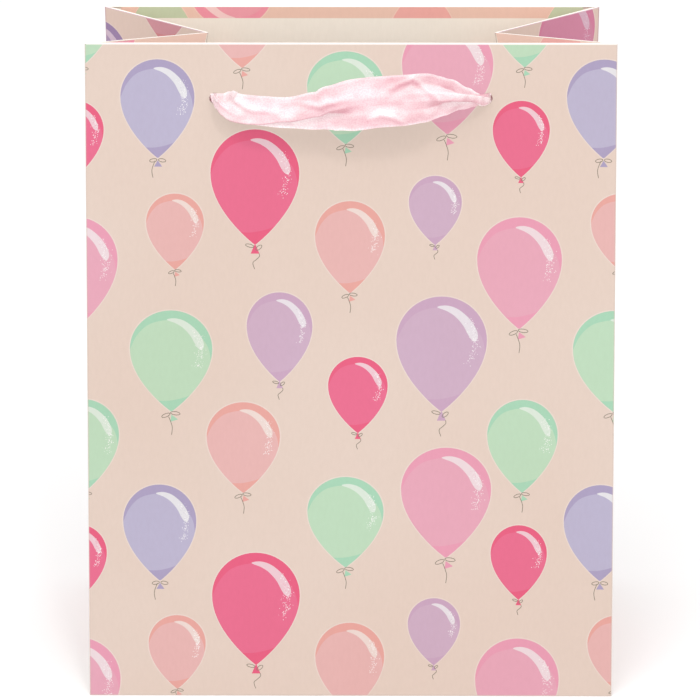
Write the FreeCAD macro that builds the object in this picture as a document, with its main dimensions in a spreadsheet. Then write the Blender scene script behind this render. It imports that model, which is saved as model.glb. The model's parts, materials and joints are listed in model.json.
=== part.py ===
import FreeCAD, Part
import math
import os

import Sketcher

# Paper gift bag with folded side gussets, ribbon handles and a loose base board.
# Frame: X to the right, Y from the front panel to the back panel, Z up.
# Origin: centre of the base rectangle, on the surface that the bag stands on.
# Millimetres. Every crease line lies on the inner faces of the two panels it joins,
# so paper stands outward from the crease planes and the liners stand inward.

doc = FreeCAD.newDocument("GiftBag")
dims = doc.addObject("Spreadsheet::Sheet", "Dims")
SIZES = [
    ("bag_width", 265),        # crease to crease across the front
    ("bag_height", 330),       # base crease to rim, along the panel
    ("bag_depth", 140),        # front to back at the base
    ("paper", 0.3),
    ("front_lean", 12.3),      # degrees that the front panel leans back
    ("back_lean", 1.5),        # degrees that the back panel leans back
    ("apex_inset", 58),        # how far the gusset crease is pushed in at the rim
    ("apex_back", 39.5),       # its place behind the middle of the base
    ("apex_height", 322),
    ("crease_gap", 0.4),       # clear strip on each side of a moving crease
    ("fold_gap", 1.8),         # the same along the diagonal folds, whose line wanders more
    ("tip_start", 14),         # the pointed ends of the gusset pieces start here
    ("lap", 10),               # the front bottom flap passes the middle by this
    ("lip_reach", 18),         # glued lip of the back bottom flap under the front one
    ("side_flap_reach", 62),
    ("board_thick", 1.2),
    ("board_margin", 4),
    ("card_thick", 0.6),       # reinforcement card under each turned-in rim
    ("card_height", 38),
    ("card_margin", 9),
    ("rim_fold", 42),          # depth of the turned-in rim
    ("rim_margin", 8.5),
    ("gusset_rim_margin", 4),
    ("seam_width", 14),        # glued side seam inside the back panel
    ("seam_margin", 4),
    ("hole_spacing", 136),
    ("hole_drop", 27),         # hole centre below the rim
    ("hole_radius", 2.75),
    ("strand_radius", 2.3),    # ribbon gathered up inside a hole
    ("knot_half_width", 5.5),
    ("knot_half_height", 6.5),
    ("knot_half_depth", 4.4),
    ("tail_width", 17),
    ("tail_length", 38),
    ("tail_thick", 0.8),
    ("ribbon_width", 25),
    ("ribbon_thick", 0.6),
    ("loop_reach", 30),        # how far a handle stands off its holes
    ("loop_stand", 2.5),       # handle pivot line outside the panel
    ("loop_start", 1),         # the loop begins this far beyond the pivot line
    ("loop_end_half", 1.8),    # half height of the gathered ribbon at the pivot
    ("loop_spread", 0.42),     # how fast the gathered ribbon opens out
    ("back_loop_droop", 25),   # degrees that the back handle hangs below level
]
for row, (alias, value) in enumerate(SIZES, start=1):
    dims.set("A%d" % row, alias)
    dims.set("B%d" % row, str(value))
    dims.setAlias("B%d" % row, alias)
doc.recompute()
size = {alias: float(dims.get(alias)) for alias, value in SIZES}
XYZ = FreeCAD.Vector

WIDTH, HEIGHT, DEPTH = size["bag_width"], size["bag_height"], size["bag_depth"]
HALF_W = "Dims.bag_width / 2"
PAPER = "Dims.paper"


def value_of(text):
    """The number that an expression over the sheet gives."""
    return float(dims.evalExpression(text))


def origin_plane(body, role):
    return next(f for f in body.Origin.OriginFeatures if f.Role == role)


def outline_sketch(body, role, corners, holes=()):
    """A sketch of a closed outline whose corners are pairs of expressions, with round holes."""
    sketch = body.newObject("Sketcher::SketchObject", body.Name + "_sketch")
    sketch.AttachmentSupport = [(origin_plane(body, role), "")]
    sketch.MapMode = "FlatFace"
    points = [XYZ(value_of(x), value_of(y), 0) for x, y in corners]
    count = len(points)
    for i in range(count):
        sketch.addGeometry(Part.LineSegment(points[i], points[(i + 1) % count]), False)
    for i in range(count):
        sketch.addConstraint(Sketcher.Constraint("Coincident", i, 2, (i + 1) % count, 1))
    for i in range(count):
        pin_point(sketch, i, 1, corners[i])
    for x, y, radius in holes:
        middle = XYZ(value_of(x), value_of(y), 0)
        circle = sketch.addGeometry(Part.Circle(middle, XYZ(0, 0, 1), value_of(radius)), False)
        pin_point(sketch, circle, 3, (x, y))
        index = sketch.addConstraint(Sketcher.Constraint("Radius", circle, value_of(radius)))
        sketch.setExpression("Constraints[%d]" % index, radius)
    return sketch


def pin_point(sketch, geometry, which, place):
    """Binds one point of a sketch to a pair of expressions."""
    for kind, text in zip(("DistanceX", "DistanceY"), place):
        index = sketch.addConstraint(Sketcher.Constraint(kind, geometry, which, value_of(text)))
        sketch.setExpression("Constraints[%d]" % index, text)


def sheet_piece(label, corners, thick, placement, depth="0", holes=()):
    """A flat piece of paper or card: an outline padded outward, its inner face at -depth."""
    body = doc.addObject("PartDesign::Body", label)
    body.Label = label
    sketch = outline_sketch(body, "XY_Plane", corners, holes)
    sketch.setExpression("AttachmentOffset.Base.z", "-(%s)" % depth)
    pad = body.newObject("PartDesign::Pad", label + "_pad")
    pad.Profile = sketch
    pad.setExpression("Length", thick)
    body.Placement = placement
    return body


def frame_at(point, along, up):
    """A placement whose local X is along, local Y is up, and local Z points out of the bag."""
    rotation = FreeCAD.Rotation(along, up, along.cross(up), "XYZ")
    return FreeCAD.Placement(point, rotation)


# Crease directions and the frames of the four walls.
front_lean = math.radians(size["front_lean"])
back_lean = math.radians(size["back_lean"])
front_up = XYZ(0, math.sin(front_lean), math.cos(front_lean))
back_up = XYZ(0, math.sin(back_lean), math.cos(back_lean))
apex_x = WIDTH / 2 - size["apex_inset"]
FRONT = frame_at(XYZ(0, -DEPTH / 2, 0), XYZ(1, 0, 0), front_up)
BACK = frame_at(XYZ(0, DEPTH / 2, 0), XYZ(-1, 0, 0), back_up)


def gusset_frame(side, corner_y, up, walk):
    """The frame of a gusset wing on its panel's side crease, and the apex in that frame."""
    corner = XYZ(side * WIDTH / 2, corner_y, 0)
    apex = XYZ(side * apex_x, size["apex_back"], size["apex_height"])
    rise = (apex - corner).dot(up)
    across = apex - corner - up * rise
    reach = across.Length
    across.normalize()
    return frame_at(corner, across * walk, up), walk * reach, rise


# Front and back walls, each with two punched holes, a turned-in rim and a card inside it.
hole_y = "Dims.bag_height - Dims.hole_drop"
holes = [("-Dims.hole_spacing / 2", hole_y, "Dims.hole_radius"),
         ("Dims.hole_spacing / 2", hole_y, "Dims.hole_radius")]


def rectangle(half_width, low, high):
    return [("-(%s)" % half_width, low), (half_width, low),
            (half_width, high), ("-(%s)" % half_width, high)]


for name, wall in (("front", FRONT), ("back", BACK)):
    sheet_piece(name + "_panel",
                rectangle(HALF_W + " - 0.1", "Dims.crease_gap", "Dims.bag_height"),
                PAPER, wall, holes=holes)
    sheet_piece(name + "_rim_card",
                rectangle(HALF_W + " - Dims.card_margin",
                          "Dims.bag_height - 1 - Dims.card_height", "Dims.bag_height - 1"),
                "Dims.card_thick", wall, depth="Dims.card_thick", holes=holes)
    sheet_piece(name + "_rim_turn_in",
                rectangle(HALF_W + " - Dims.rim_margin",
                          "Dims.bag_height - Dims.rim_fold", "Dims.bag_height"),
                PAPER, wall, depth="Dims.card_thick + Dims.paper", holes=holes)

# The bag's one glued side seam, inside the back panel along its left crease.
sheet_piece("side_seam_flap",
            [(HALF_W + " - Dims.seam_margin", "Dims.tip_start / 3"),
             (HALF_W + " - Dims.seam_margin", "Dims.bag_height - Dims.rim_fold - 1"),
             (HALF_W + " - Dims.seam_margin - Dims.seam_width",
              "Dims.bag_height - Dims.rim_fold - 1"),
             (HALF_W + " - Dims.seam_margin - Dims.seam_width", "Dims.tip_start / 3")],
            PAPER, BACK, depth=PAPER)

# Gussets. Each side has a centre triangle that stands on the base crease and two long
# wings, one folded from each panel. The three meet at the apex of the V at the rim.
WINGS = [("right_front_gusset", 1, -DEPTH / 2, front_up, 1),
         ("right_back_gusset", 1, DEPTH / 2, back_up, -1),
         ("left_back_gusset", -1, DEPTH / 2, back_up, 1),
         ("left_front_gusset", -1, -DEPTH / 2, front_up, -1)]
for name, side, corner_y, up, walk in WINGS:
    placement, reach, rise = gusset_frame(side, corner_y, up, walk)
    edge = "%d * Dims.crease_gap" % walk
    slope = "%.6f" % (reach / rise)          # the fold runs from the base corner to the apex
    inset = "%d * Dims.fold_gap" % walk
    sheet_piece(name,
                [(edge, "Dims.tip_start"),
                 (edge, "Dims.bag_height"),
                 ("%.6f - %s" % (reach, inset), "%.6f" % rise),
                 ("%s * Dims.tip_start - %s" % (slope, inset), "Dims.tip_start")],
                PAPER, placement)
    margin = "%d * Dims.gusset_rim_margin" % walk
    low = "(Dims.bag_height - Dims.rim_fold)"
    sheet_piece(name + "_turn_in",
                [(margin, low),
                 (margin, "Dims.bag_height"),
                 ("%.6f - %s / 2" % (reach, margin), "%.6f" % rise),
                 ("%s * %s - %s" % (slope, low, margin), low)],
                PAPER, placement, depth=PAPER)

tilt = math.atan2(size["apex_inset"], size["apex_height"])
crease_length = math.hypot(size["apex_inset"], size["apex_height"])
for name, side in (("right_gusset_centre", 1), ("left_gusset_centre", -1)):
    up = XYZ(-side * math.sin(tilt), 0, math.cos(tilt))
    placement = frame_at(XYZ(side * WIDTH / 2, 0, 0), XYZ(0, side, 0), up)
    tip = "%d * Dims.apex_back" % side
    half = "(Dims.bag_depth / 2 - Dims.fold_gap)"
    low = "Dims.crease_gap * 1.5"
    high = "%.6f" % (crease_length - 8)
    sheet_piece(name,
                [("-" + half, low), (half, low),
                 ("%s + 0.4" % tip, high), ("%s - 0.4" % tip, high)],
                PAPER, placement)

# Bottom. The side flaps fold in first, the back flap's lip is glued to the front flap,
# and a loose board lies on them.
FLOOR = FreeCAD.Placement()
edge_x = "(" + HALF_W + " - 0.5)"
edge_y = "(Dims.bag_depth / 2 - 0.6)"
sheet_piece("front_bottom_flap",
            [("-" + edge_x, "-" + edge_y), (edge_x, "-" + edge_y),
             (edge_x + " - Dims.lap - " + edge_y, "Dims.lap"),
             ("-" + edge_x + " + Dims.lap + " + edge_y, "Dims.lap")],
            PAPER, FLOOR)
seam_y = "(Dims.lap + 0.3)"
back_flap = sheet_piece("back_bottom_flap",
                        [(edge_x, edge_y), ("-" + edge_x, edge_y),
                         ("-" + edge_x + " + " + edge_y + " - " + seam_y, seam_y),
                         (edge_x + " - " + edge_y + " + " + seam_y, seam_y)],
                        PAPER, FLOOR)
lip_half = "(" + edge_x + " - " + edge_y + ")"
lip_sketch = outline_sketch(back_flap, "XY_Plane",
                            [("-" + lip_half, "Dims.lap - Dims.lip_reach"),
                             (lip_half, "Dims.lap - Dims.lip_reach"),
                             (lip_half, "Dims.lap + 4"), ("-" + lip_half, "Dims.lap + 4")])
lip_sketch.setExpression("AttachmentOffset.Base.z", PAPER)
lip = back_flap.newObject("PartDesign::Pad", "back_bottom_flap_lip")
lip.Profile = lip_sketch
lip.setExpression("Length", PAPER)
for name, side in (("right_bottom_flap", 1), ("left_bottom_flap", -1)):
    root = "%d * %s" % (side, edge_x)
    end = "%d * (%s - Dims.side_flap_reach)" % (side, edge_x)
    narrow = "(" + edge_y + " - Dims.side_flap_reach)"
    sheet_piece(name,
                [(root, "-" + edge_y), (root, edge_y), (end, narrow), (end, "-" + narrow)],
                PAPER, FLOOR, depth="-2 * Dims.paper")
sheet_piece("base_board",
            rectangle(HALF_W + " - Dims.board_margin",
                      "-(Dims.bag_depth / 2 - Dims.board_margin)",
                      "Dims.bag_depth / 2 - Dims.board_margin"),
            "Dims.board_thick", FLOOR, depth="-3 * Dims.paper - 0.05")


# Ribbon handles. Each ribbon is gathered through two holes and knotted inside.
def ribbon_end(label, wall, side):
    """The gathered strand in a hole, its knot and its tail, as one solid."""
    strand = doc.addObject("Part::Cylinder", label + "_strand")
    strand.setExpression("Radius", "Dims.strand_radius")
    strand.setExpression("Height", "Dims.card_thick + Dims.paper * 2 + Dims.knot_half_depth + 0.8")
    strand.setExpression("Placement.Base.z",
                         "-(Dims.card_thick + Dims.paper + Dims.knot_half_depth)")
    knot = doc.addObject("Part::Ellipsoid", label + "_knot")
    knot.setExpression("Radius1", "Dims.knot_half_depth")
    knot.setExpression("Radius2", "Dims.knot_half_width")
    knot.setExpression("Radius3", "Dims.knot_half_height")
    knot.setExpression("Placement.Base.z",
                       "-(Dims.card_thick + Dims.paper * 1.5 + Dims.knot_half_depth)")
    tail = doc.addObject("Part::Box", label + "_tail")
    tail.setExpression("Length", "Dims.tail_width")
    tail.setExpression("Width", "Dims.tail_length")
    tail.setExpression("Height", "Dims.tail_thick")
    tail.setExpression("Placement.Base.x", "-Dims.tail_width / 2")
    tail.setExpression("Placement.Base.y", "-Dims.tail_length - 2")
    tail.setExpression("Placement.Base.z", "-(Dims.card_thick + Dims.paper * 2 + 3)")
    whole = doc.addObject("Part::MultiFuse", label)
    whole.Shapes = [strand, knot, tail]
    whole.Label = label
    hole = XYZ(side * size["hole_spacing"] / 2, HEIGHT - size["hole_drop"], 0)
    whole.Placement = FreeCAD.Placement(wall.multVec(hole), wall.Rotation)
    return whole


def ribbon_loop(label, wall, droop):
    """A flat ribbon standing on edge along an arc between the holes, gathered at both ends."""
    body = doc.addObject("PartDesign::Body", label)
    body.Label = label
    arc = body.newObject("Sketcher::SketchObject", label + "_arc")
    arc.AttachmentSupport = [(origin_plane(body, "XY_Plane"), "")]
    arc.MapMode = "FlatFace"
    half = "(Dims.hole_spacing / 2)"
    radius = "(%s ^ 2 / (2 * Dims.loop_reach) + Dims.loop_reach / 2)" % half
    centre = ("0", "Dims.loop_reach - " + radius)
    middle = XYZ(0, value_of(centre[1]), 0)
    start = size["loop_start"]
    ends = []
    for sign in (-1, 1):
        bound = "%s + %d * Dims.ribbon_thick / 2" % (radius, sign)
        span = value_of(bound)
        angle = math.asin((start - middle.y) / span)
        circle = Part.Circle(middle, XYZ(0, 0, 1), span)
        index = arc.addGeometry(Part.ArcOfCircle(circle, angle, math.pi - angle), False)
        limit = arc.addConstraint(Sketcher.Constraint("Radius", index, span))
        arc.setExpression("Constraints[%d]" % limit, bound)
        pin_point(arc, index, 3, centre)
        for point in (1, 2):
            limit = arc.addConstraint(Sketcher.Constraint("DistanceY", index, point, start))
            arc.setExpression("Constraints[%d]" % limit, "Dims.loop_start")
        ends.append((index, math.cos(angle) * span))
    inner, outer = ends
    for point, sign in ((1, 1), (2, -1)):
        line = Part.LineSegment(XYZ(sign * inner[1], start, 0), XYZ(sign * outer[1], start, 0))
        index = arc.addGeometry(line, False)
        arc.addConstraint(Sketcher.Constraint("Coincident", index, 1, inner[0], point))
        arc.addConstraint(Sketcher.Constraint("Coincident", index, 2, outer[0], point))
    band = body.newObject("PartDesign::Pad", label + "_band")
    band.Profile = arc
    band.Midplane = True
    band.setExpression("Length", "Dims.ribbon_width")
    doc.recompute()
    whole_volume = body.Shape.Volume
    side = body.newObject("Sketcher::SketchObject", label + "_gather")
    side.AttachmentSupport = [(origin_plane(body, "YZ_Plane"), "")]
    side.MapMode = "FlatFace"
    spread = "(Dims.ribbon_width / 2 - Dims.loop_end_half) / Dims.loop_spread"
    for sign in (1, -1):
        corners = [("-2", "%d * (Dims.loop_end_half - 2 * Dims.loop_spread)" % sign),
                   (spread, "%d * Dims.ribbon_width / 2" % sign),
                   (spread, "%d * (Dims.ribbon_width / 2 + 2)" % sign),
                   ("-2", "%d * (Dims.ribbon_width / 2 + 2)" % sign)]
        first = len(side.Geometry)
        points = [XYZ(value_of(x), value_of(y), 0) for x, y in corners]
        for i in range(4):
            side.addGeometry(Part.LineSegment(points[i], points[(i + 1) % 4]), False)
        for i in range(4):
            following = first + (i + 1) % 4
            side.addConstraint(Sketcher.Constraint("Coincident", first + i, 2, following, 1))
            pin_point(side, first + i, 1, corners[i])
    gather = body.newObject("PartDesign::Pocket", label + "_gather_cut")
    gather.Profile = side
    gather.Type = "ThroughAll"
    gather.Midplane = True
    doc.recompute()
    if body.Shape.Volume > 0.95 * whole_volume:
        raise RuntimeError(label + ": the gathered ends were not cut")
    out = wall.Rotation.multVec(XYZ(0, 0, 1))
    right = wall.Rotation.multVec(XYZ(1, 0, 0))
    level = XYZ(0, math.copysign(1, out.y), 0)
    reach_out = level * math.cos(droop) - XYZ(0, 0, math.sin(droop))
    pivot = wall.multVec(XYZ(0, HEIGHT - size["hole_drop"], size["paper"] + size["loop_stand"]))
    body.Placement = frame_at(pivot, right, reach_out)
    return body


for name, wall, droop in (("front", FRONT, 0.0),
                          ("back", BACK, math.radians(size["back_loop_droop"]))):
    for word, side in (("left", -1), ("right", 1)):
        # Left and right are seen from the front, so they swap on the back wall's own X.
        own_side = side if name == "front" else -side
        ribbon_end("%s_ribbon_%s_knot" % (name, word), wall, own_side)
    ribbon_loop(name + "_ribbon_loop", wall, droop)

doc.recompute()
for item in doc.Objects:
    if "Invalid" in item.State or "Error" in item.State:
        raise RuntimeError(item.Label + " failed: " + str(item.State))
nodes = [o for o in doc.Objects if o.TypeId in ("PartDesign::Body", "Part::MultiFuse")]
for node in nodes:
    if node.Shape.isNull() or not node.Shape.isValid() or len(node.Shape.Solids) != 1:
        raise RuntimeError(node.Label + " is not one valid solid")
os.makedirs("parts", exist_ok=True)
for node in nodes:
    node.Shape.exportStep("parts/%s.step" % node.Label)
print(len(nodes), "pieces written")
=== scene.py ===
"""Looks of the paper gift bag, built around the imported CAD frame.

The printed sheet is made wall by wall: each wall's outline and the balloons that cross it are
triangulated together in the flat, painted region by region, and laid on the CAD wall.
Each ribbon is one satin strip: tail, strand through a hole, loop, second strand, second tail.
"""
import json
import math
import random

import bpy
from mathutils import Matrix, Vector, noise
from mathutils.geometry import convex_hull_2d, delaunay_2d_cdt


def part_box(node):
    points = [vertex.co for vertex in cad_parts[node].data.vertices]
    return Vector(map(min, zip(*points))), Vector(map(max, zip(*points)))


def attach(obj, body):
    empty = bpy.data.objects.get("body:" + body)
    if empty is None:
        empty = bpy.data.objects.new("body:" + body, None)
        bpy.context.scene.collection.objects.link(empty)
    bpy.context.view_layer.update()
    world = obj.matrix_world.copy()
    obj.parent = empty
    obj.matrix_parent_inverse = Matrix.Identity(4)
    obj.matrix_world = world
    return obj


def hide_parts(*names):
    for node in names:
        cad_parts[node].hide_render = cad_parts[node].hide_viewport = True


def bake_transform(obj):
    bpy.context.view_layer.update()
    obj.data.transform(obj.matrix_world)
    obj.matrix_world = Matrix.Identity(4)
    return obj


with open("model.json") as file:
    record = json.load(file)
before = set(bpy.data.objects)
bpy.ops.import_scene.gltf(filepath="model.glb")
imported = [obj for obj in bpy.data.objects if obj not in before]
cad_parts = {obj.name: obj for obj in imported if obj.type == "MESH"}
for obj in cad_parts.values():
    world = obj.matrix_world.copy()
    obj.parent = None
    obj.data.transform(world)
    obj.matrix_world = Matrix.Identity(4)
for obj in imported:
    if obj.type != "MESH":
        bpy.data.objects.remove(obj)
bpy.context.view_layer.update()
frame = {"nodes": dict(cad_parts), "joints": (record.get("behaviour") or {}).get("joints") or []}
scene = bpy.context.scene
joints = {j["name"]: j for j in frame["joints"]}
MM = 0.001

# ---------------------------------------------------------------- dimensions, in millimetres
HALF = joints["right_gusset_tilt"]["pos_m"][0] / MM      # half the width, crease to crease
FRONT_Y = joints["mouth_close"]["pos_m"][1] / MM         # base creases
BACK_Y = joints["back_wall_close"]["pos_m"][1] / MM
APEX = Vector((74.5, 39.5, 322))                         # where each gusset's folds meet at the rim
PAPER = 0.3
CARD = 0.6
TURN_DEPTH = 42                                          # turned-in rim
BLEED = 6                                                # print that runs over the rim fold
HOLE_X, HOLE_DROP, HOLE_R = 68, 27, 2.75
STRAND_OUT = 2.8                                         # handle pivot line outside the panel
KNOT_DEPTH = PAPER + CARD + 4.6                          # knot's middle inside the panel's face


def eased(value):
    value = max(0.0, min(1.0, value))
    return value * value * (3 - 2 * value)


def mixed(a, b, share):
    return tuple(p + (q - p) * share for p, q in zip(a, b))


def curve_at(a, b, c, d, t):
    """A smooth curve's point at share t of the way from b to c."""
    return 0.5 * (2 * b + (c - a) * t + (2 * a - 5 * b + 4 * c - d) * t * t
                  + (3 * b - a - 3 * c + d) * t ** 3)


def add_object(name, data):
    thing = bpy.data.objects.new(name, data)
    scene.collection.objects.link(thing)
    return thing


def up_of(joint):
    axis = Vector(joints[joint]["axis"])
    return axis if axis.z > 0 else -axis


class Plane:
    """A flat frame in millimetres: x along, y up, and the normal that points out of the bag."""

    def __init__(self, origin, along, up):
        self.origin, self.along, self.up = Vector(origin), Vector(along), Vector(up)
        self.out = self.along.cross(self.up)

    def at(self, x, y, lift=0.0):
        return (self.origin + self.along * x + self.up * y + self.out * lift) * MM

    def turned(self, lift):
        """The same plane seen from inside, moved by lift."""
        return Plane(self.origin + self.out * lift, -self.along, self.up)


front_up, back_up = up_of("right_front_fold"), up_of("right_back_fold")
FRONT = Plane((0, FRONT_Y, 0), (1, 0, 0), front_up)
BACK = Plane((0, BACK_Y, 0), (-1, 0, 0), back_up)
front_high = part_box("front_panel")[1]
RIM_POINT = Vector((0, front_high.y, front_high.z)) / MM
HEIGHT = round((RIM_POINT - FRONT.origin).dot(front_up), 1)

# ---------------------------------------------------------------- camera, light and floor
camera_data = bpy.data.cameras.new("camera")
camera_data.lens = 96.76
camera_data.shift_x = -0.0105
camera_data.shift_y = -0.12
camera_data.dof.use_dof = False
camera = add_object("camera", camera_data)
camera.location = (0.0071, -0.9316, 0.4726)
camera.rotation_euler = (math.radians(90 - 15.88), 0, math.radians(0.24))
scene.camera = camera
scene.view_settings.view_transform = "Standard"


def area_light(name, place, target, size, power, colour=(1, 1, 1)):
    data = bpy.data.lights.new(name, "AREA")
    data.shape, data.size, data.energy, data.color = "SQUARE", size, power, colour
    light = add_object(name, data)
    light.location = place
    light.rotation_euler = (Vector(target) - Vector(place)).to_track_quat("-Z", "Y").to_euler()


area_light("key", (-0.8, -1.3, 1.6), (0, 0, 0.25), 0.9, 4.4)
area_light("fill", (1.1, -1.6, 1.0), (0, 0, 0.2), 1.2, 3.4)
area_light("accent", (0.3, -1.0, 1.35), (0, 0, 0.3), 0.22, 2.6)
sun_data = bpy.data.lights.new("overhead", "SUN")
sun_data.energy, sun_data.angle = 1.05, math.radians(100)
sun = add_object("overhead", sun_data)
sun.rotation_euler = (math.radians(40), math.radians(-8), 0)

world = bpy.data.worlds.new("studio")
scene.world = world
world.use_nodes = True
world.node_tree.nodes["Background"].inputs["Color"].default_value = (1, 1, 1, 1)
world.node_tree.nodes["Background"].inputs["Strength"].default_value = 0.83


# ---------------------------------------------------------------- materials
def linear(rgb):
    """Screen colour, 0 to 255, as a linear colour."""
    return tuple(((c / 255 + 0.055) / 1.055) ** 2.4 if c > 10 else c / 255 / 12.92 for c in rgb)


class Nodes:
    """A new material and short ways to add nodes to it."""

    def __init__(self, name):
        self.material = bpy.data.materials.new(name)
        self.material.use_nodes = True
        self.tree = self.material.node_tree
        self.shader = self.tree.nodes["Principled BSDF"]

    def add(self, kind, **values):
        node = self.tree.nodes.new(kind)
        for key, value in values.items():
            if isinstance(value, bpy.types.NodeSocket):
                self.tree.links.new(value, node.inputs[key])
            elif key in node.inputs:
                node.inputs[key].default_value = value
            else:
                setattr(node, key, value)
        return node

    def set(self, **values):
        for key, value in values.items():
            self.shader.inputs[key.replace("_", " ")].default_value = value

    def link(self, socket, name):
        self.tree.links.new(socket, self.shader.inputs[name])

    def noise(self, scale, detail=3.0, stretch=None, rough=0.5):
        place = self.add("ShaderNodeTexCoord").outputs["Object"]
        if stretch:
            mapped = self.add("ShaderNodeMapping", Vector=place)
            mapped.inputs["Scale"].default_value = stretch
            place = mapped.outputs["Vector"]
        node = self.add("ShaderNodeTexNoise", Vector=place, Scale=scale, Detail=detail)
        node.inputs["Roughness"].default_value = rough
        return node.outputs["Fac"]

    def ramp(self, value, low, high, start, end):
        node = self.add("ShaderNodeMapRange", Value=value)
        for key, number in (("From Min", low), ("From Max", high),
                            ("To Min", start), ("To Max", end)):
            node.inputs[key].default_value = number
        return node.outputs["Result"]

    def tint(self, colour, value, shade):
        """colour, multiplied by shade where value is 1."""
        node = self.add("ShaderNodeMix", data_type="RGBA", blend_type="MULTIPLY")
        self.tree.links.new(value, node.inputs["Factor"])
        self.tree.links.new(colour, node.inputs["A"])
        node.inputs["B"].default_value = (*shade, 1)
        return node.outputs["Result"]

    def mix(self, value, a, b):
        node = self.add("ShaderNodeMix", data_type="RGBA")
        self.tree.links.new(value, node.inputs["Factor"])
        for key, colour in (("A", a), ("B", b)):
            node.inputs[key].default_value = (*colour, 1)
        return node.outputs["Result"]

    def bump(self, height, strength, distance, under=None):
        node = self.add("ShaderNodeBump", Height=height, Strength=strength, Distance=distance)
        if under:
            self.tree.links.new(under, node.inputs["Normal"])
        return node.outputs["Normal"]


def printed_paper():
    n = Nodes("printed_paper")
    paint = n.add("ShaderNodeAttribute", attribute_name="paint")
    cloudy = n.ramp(n.noise(9, 2), 0.35, 0.65, 0, 1)
    colour = n.tint(paint.outputs["Color"], cloudy, (0.985, 0.965, 0.955))
    fibre = n.ramp(n.noise(650, 4, (1, 1, 0.35)), 0.3, 0.7, 0, 1)
    colour = n.tint(colour, fibre, (0.975, 0.972, 0.968))
    n.link(colour, "Base Color")
    printed = n.ramp(paint.outputs["Alpha"], 0, 1, 0.78, 0.5)
    grain = n.ramp(n.noise(900, 3), 0.3, 0.7, -0.04, 0.05)
    rough = n.add("ShaderNodeMath", operation="ADD")
    n.tree.links.new(printed, rough.inputs[0])
    n.tree.links.new(grain, rough.inputs[1])
    n.link(rough.outputs["Value"], "Roughness")
    waves = n.bump(n.noise(45, 2), 0.16, 0.0006)
    n.link(n.bump(n.noise(1400, 4, (1, 1, 0.4)), 0.12, 0.00006, waves), "Normal")
    n.set(Specular_IOR_Level=0.32)
    return n.material


def plain_stock(name, light, dark, scale, roughness, bump=0.25):
    """Uncoated paper or card with visible fibres."""
    n = Nodes(name)
    fleck = n.ramp(n.noise(scale, 5, (1, 1, 0.4), 0.65), 0.3, 0.7, 0, 1)
    cloudy = n.ramp(n.noise(14, 2), 0.35, 0.65, 0, 1)
    colour = n.mix(fleck, linear(dark), linear(light))
    n.link(n.tint(colour, cloudy, (0.97, 0.965, 0.96)), "Base Color")
    rough = n.ramp(n.noise(scale * 1.3, 3), 0.3, 0.7, roughness - 0.06, roughness + 0.06)
    n.link(rough, "Roughness")
    n.link(n.bump(n.noise(scale * 2, 4), bump, 0.00012), "Normal")
    n.set(Specular_IOR_Level=0.25)
    return n.material


def satin(name):
    """Satin whose colour, with its painted shade, sheen and highlights, is stored on the mesh, with
    streaks, glitter and a fine weave.
    """
    n = Nodes(name)
    paint = n.add("ShaderNodeAttribute", attribute_name="paint")
    strip = n.add("ShaderNodeAttribute", attribute_name="strip")
    streaks = n.add("ShaderNodeTexNoise", Vector=strip.outputs["Vector"], Scale=60, Detail=4)
    colour = n.tint(paint.outputs["Color"], n.ramp(streaks.outputs["Fac"], 0.35, 0.65, 0, 1),
                    (0.985, 0.87, 0.9))
    glitter = n.add("ShaderNodeTexNoise", Vector=strip.outputs["Vector"], Scale=1300, Detail=2)
    colour = n.tint(colour, n.ramp(glitter.outputs["Fac"], 0.44, 0.58, 0, 1), (0.94, 0.85, 0.88))
    n.link(colour, "Base Color")
    threads = n.add("ShaderNodeMapping", Vector=strip.outputs["Vector"])
    threads.inputs["Scale"].default_value = (500, 4200, 1)
    weave = n.add("ShaderNodeTexNoise", Vector=threads.outputs["Vector"], Scale=1, Detail=2)
    soft = n.add("ShaderNodeTexNoise", Vector=strip.outputs["Vector"], Scale=140, Detail=3)
    n.link(n.ramp(weave.outputs["Fac"], 0.3, 0.7, 0.24, 0.38), "Roughness")
    crush = n.bump(soft.outputs["Fac"], 0.6, 0.0011)
    n.link(n.bump(weave.outputs["Fac"], 0.25, 0.00006, crush), "Normal")
    n.set(Specular_IOR_Level=0.6, Anisotropic=0.45, Sheen_Weight=0.15, Sheen_Roughness=0.4,
          Sheen_Tint=(1, 0.9, 0.94, 1))
    return n.material


def floor_material():
    n = Nodes("studio_floor")
    n.link(n.mix(n.ramp(n.noise(3, 2), 0.3, 0.7, 0, 1), (0.95, 0.95, 0.95), (0.97, 0.97, 0.97)),
           "Base Color")
    n.link(n.ramp(n.noise(40, 2), 0.3, 0.7, 0.75, 0.85), "Roughness")
    n.set(Specular_IOR_Level=0.1)
    return n.material


PAPER_LOOK = printed_paper()
WHITE_LOOK = plain_stock("white_paper", (250, 244, 236), (240, 232, 222), 500, 0.8)
CARD_LOOK = plain_stock("rim_card", (214, 208, 198), (186, 178, 166), 320, 0.86, 0.5)
BOARD_LOOK = plain_stock("board", (240, 238, 234), (222, 219, 213), 380, 0.72, 0.4)
SATIN_LOOK = satin("ribbon_satin")

FLOOR = 9.0                                              # half size in metres
floor_corners = [(x * FLOOR, y * FLOOR, 0) for x, y in ((-1, -1), (1, -1), (1, 1), (-1, 1))]
floor_mesh = bpy.data.meshes.new("floor")
floor_mesh.from_pydata(floor_corners, [], [(0, 1, 2, 3)])
floor_mesh.materials.append(floor_material())
add_object("floor", floor_mesh)

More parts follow.
